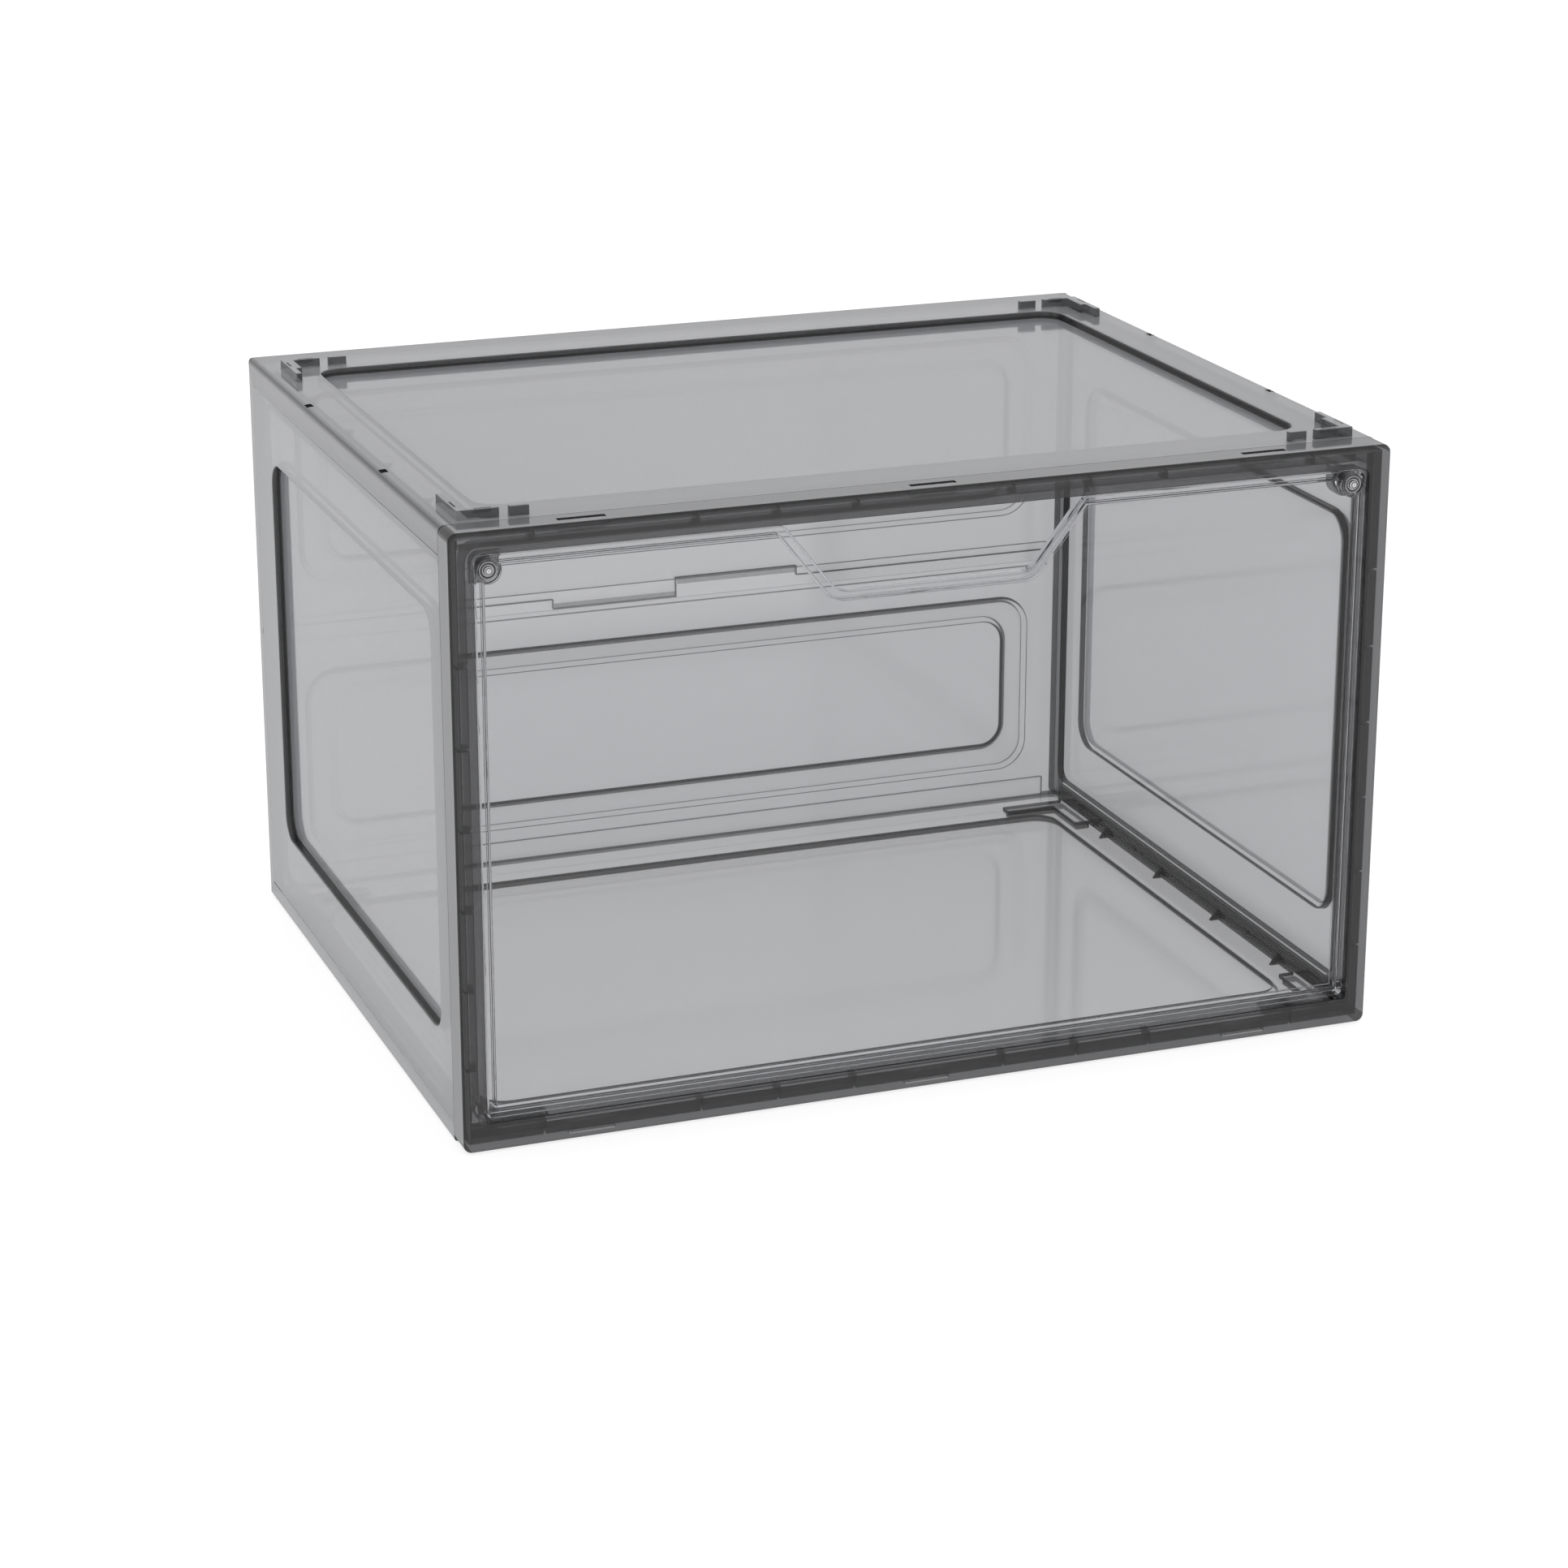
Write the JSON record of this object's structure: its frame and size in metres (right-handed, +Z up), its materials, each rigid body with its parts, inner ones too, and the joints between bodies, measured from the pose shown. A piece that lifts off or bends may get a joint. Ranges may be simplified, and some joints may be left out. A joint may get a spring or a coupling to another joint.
{
  "type": "shoe box",
  "caption": "Stackable smoke-tinted plastic shoe box with a clear drop-front door, a finger notch and a magnetic catch.",
  "frame": {"origin": "middle of the base, on the surface that the box stands on", "axes": "+Z up, the door faces -Y, +X to the right of someone facing the door"},
  "size_m": [0.35, 0.28, 0.2255],
  "materials": {
    "frame_smoke": "glossy dark smoke-tinted translucent plastic",
    "panel_smoke": "satin smoke-tinted translucent plastic with a fine haze",
    "door_clear": "clear glossy plastic",
    "striker_steel": "bright nickel-plated steel disc",
    "rivet_steel": "polished rivet head",
    "magnet_nickel": "nickel-plated magnet"
  },
  "bodies": {
    "case": {"front_frame": "frame_smoke", "top_panel": "panel_smoke", "bottom_panel": "panel_smoke", "left_side_panel": "panel_smoke", "right_side_panel": "panel_smoke", "upper_back_panel": "panel_smoke", "lower_back_panel": "panel_smoke", "frame_magnet_left": "magnet_nickel", "frame_magnet_right": "magnet_nickel"},
    "door": {"door_panel": "door_clear", "striker_disc_left": "striker_steel", "striker_disc_right": "striker_steel", "striker_rivet_left": "rivet_steel", "striker_rivet_right": "rivet_steel"}
  },
  "joints": [
    {"name": "door_hinge", "type": "hinge", "parent": "case", "child": "door", "pos_m": [0, -0.1356, 0.0145], "axis": [1, 0, 0], "range_deg": [0, 90]}
  ]
}
